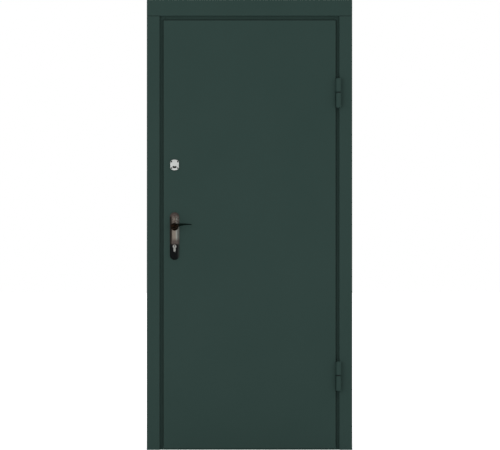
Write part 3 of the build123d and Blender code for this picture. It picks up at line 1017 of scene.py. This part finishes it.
@dataclass
class Escutcheons:
    """The upper lock's covers with their countersunk screws and the dark shutters of their key slots, whose
    black is partly painted shade of the slots.
    """

    screws: ScrewSet = ScrewSet(radius=3.5 * MM, rise=0.4 * MM, seat=1.0 * MM)
    screw_x: float = 15.0 * MM
    screw_z: float = 15.0 * MM
    screw_sink: float = 0.4 * MM
    slot_width: float = 18.0 * MM
    slot_height: float = 3.8 * MM
    slot_drop: float = 10.0 * MM
    slot_bow: float = 2.5 * MM
    slot_fit: float = 0.02 * MM
    lip_side: float = 2.5 * MM
    lip_end: float = 0.8 * MM
    lip_drop: float = 1.3 * MM
    lip_bow: float = 1.7 * MM
    lip_rise: float = 0.5 * MM
    wall: float = 0.25 * MM
    shutter_depth: float = 3.0 * MM

    def build(self) -> None:
        """Dress the covers, drive their screws and line their slots in black that partly paints the slots'
        shade.
        """
        dress(CHROME, "outside_escutcheon", "inside_escutcheon")
        seats = []
        shutters = bmesh.new()
        for face in Face:
            low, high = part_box(face.node("escutcheon"))
            middle = (low + high) / 2.0
            front = face.front(low, high)
            sunk = front - face.value * self.screw_sink
            for x in (-self.screw_x, self.screw_x):
                for z in (-self.screw_z, self.screw_z):
                    seats.append((Vector((middle.x + x, sunk, middle.z + z)), face.normal))
            slot = Vector((middle.x, front, middle.z - self.slot_drop))
            self._line_and_shade_slot(shutters, facing(slot, face.normal))
        self.screws.fix("escutcheon_screws", seats, OILED, Body.LEAF)
        add_piece("key_slot_shutters_and_shade", shutters, OILED, Body.LEAF)

    def _line_and_shade_slot(self, mesh: bmesh.types.BMesh, where: Matrix) -> None:
        """Add one cup that frames a key slot with a rounded lip, lines it and closes it with a shutter; the
        cup's black is partly painted shade of the slot.

        Args:
            mesh: the mesh to add to.
            where: transform that stands local Z outward at the slot's middle.
        """
        fit, wall, floor = -self.slot_fit, self.wall, -self.shutter_depth
        hole = (self.slot_bow, 0.0)
        lip = (self.lip_bow, self.lip_drop)
        section = (
            (fit, fit, *hole, floor - wall),
            (fit, fit, *hole, -wall),
            (self.lip_end, self.lip_side, *lip, -wall),
            (self.lip_end, self.lip_side, *lip, 0.5 * self.lip_rise),
            (self.lip_end - wall, self.lip_side - wall, *lip, self.lip_rise),
            (0.0, 0.0, *hole, self.lip_rise),
            (-wall, -wall, *hole, 0.5 * self.lip_rise),
            (-wall, -wall, *hole, floor),
        )
        loops = []
        for end, side, bow, drop, height in section:
            outline = bowed_slot(self.slot_width + 2.0 * end, self.slot_height + 2.0 * side, bow)
            loops.append([where @ (point + Vector((0.0, -drop, height))) for point in outline])
        sweep(mesh, loops)


@dataclass(frozen=True)
class Lamp:
    """A square soft lamp."""

    name: str
    place: Tuple[float, float, float]
    size: float
    power: float

    def hang(self, target: Vector) -> None:
        """Hang the lamp.

        Args:
            target: the point that it looks at.
        """
        data = bpy.data.lights.new(self.name, "AREA")
        data.size = self.size
        data.energy = self.power
        lamp = bpy.data.objects.new(self.name, data)
        lamp.location = self.place
        lamp.rotation_mode = "QUATERNION"
        lamp.rotation_quaternion = (target - Vector(self.place)).to_track_quat("-Z", "Y")
        bpy.context.scene.collection.objects.link(lamp)


@dataclass
class Studio:
    """White surroundings, soft lamps and the camera in front of the door."""

    lamps: Tuple[Lamp, ...] = (
        Lamp("key_lamp", (-3.4, -4.2, 1.5), 3.0, 40.0),
        Lamp("fill_lamp", (3.6, -4.6, 0.8), 3.0, 28.0),
        Lamp("foot_lamp", (0.0, -3.2, 0.35), 1.6, 5.0),
    )
    world_light: float = 0.80
    floor_half: float = 30.0
    floor_cells: int = 8
    floor_colour: Colour = rgb(0.86, 0.86, 0.86)
    floor_glow: float = 0.55
    camera_x: float = 0.0023
    camera_z: float = 1.0513
    distance: float = 13.0
    span: float = 2.3365
    sensor: float = 36.0
    sight: float = 200.0

    def build(self) -> None:
        """Make floor, world, lamps and camera."""
        self._lay_floor()
        self._light_world()
        for lamp in self.lamps:
            lamp.hang(Vector((0.0, 0.0, self.camera_z)))
        self._stand_camera()

    def _light_world(self) -> None:
        """Surround the door with white that lights it softly."""
        world = bpy.data.worlds.new("studio_white")
        bpy.context.scene.world = world
        world.use_nodes = True
        graph = Graph(world.node_tree)
        strength = self.world_light + graph.seen() * (1.0 - self.world_light)
        white = graph.out("ShaderNodeBackground", sockets={"Color": WHITE, "Strength": strength})
        graph.add("ShaderNodeOutputWorld", sockets={"Surface": white})

    def _lay_floor(self) -> None:
        """Lay a pale floor that is white to the camera except in the door's shadow."""
        mesh = bmesh.new()
        bmesh.ops.create_grid(
            mesh, x_segments=self.floor_cells, y_segments=self.floor_cells, size=self.floor_half)
        data = bpy.data.meshes.new("floor")
        mesh.to_mesh(data)
        mesh.free()
        floor = bpy.data.objects.new("floor", data)
        bpy.context.scene.collection.objects.link(floor)
        material, graph = node_material("studio_floor")
        pale = graph.out("ShaderNodeBsdfDiffuse", sockets={"Color": self.floor_colour})
        strength = graph.seen() * self.floor_glow
        glow = graph.out("ShaderNodeEmission", sockets={"Color": WHITE, "Strength": strength})
        both = graph.out("ShaderNodeAddShader", sockets={0: pale, 1: glow})
        graph.add("ShaderNodeOutputMaterial", sockets={"Surface": both})
        data.materials.append(material)

    def _stand_camera(self) -> None:
        """Stand a long lens straight in front of the door."""
        data = bpy.data.cameras.new("camera")
        data.sensor_width = self.sensor
        data.lens = self.sensor * self.distance / self.span
        data.clip_end = self.sight
        camera = bpy.data.objects.new("camera", data)
        camera.location = (self.camera_x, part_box("head_casing")[0].y - self.distance, self.camera_z)
        camera.rotation_euler = (math.radians(90.0), 0.0, 0.0)
        bpy.context.scene.collection.objects.link(camera)
        bpy.context.scene.camera = camera


def main() -> None:
    """Build and dress the whole door, then its surroundings."""
    logging.basicConfig(level=logging.INFO, format="%(name)s %(message)s")
    bpy.context.scene.view_settings.view_transform = "Standard"
    hinges = (Hinge("lower"), Hinge("upper"))
    for part in (DoorFrame(), DoorLeaf(), *hinges, LockSet(), HandleSet(), Escutcheons(), Studio()):
        part.build()
        LOG.info("built %s", type(part).__name__)


if __name__ == "__main__":
    main()
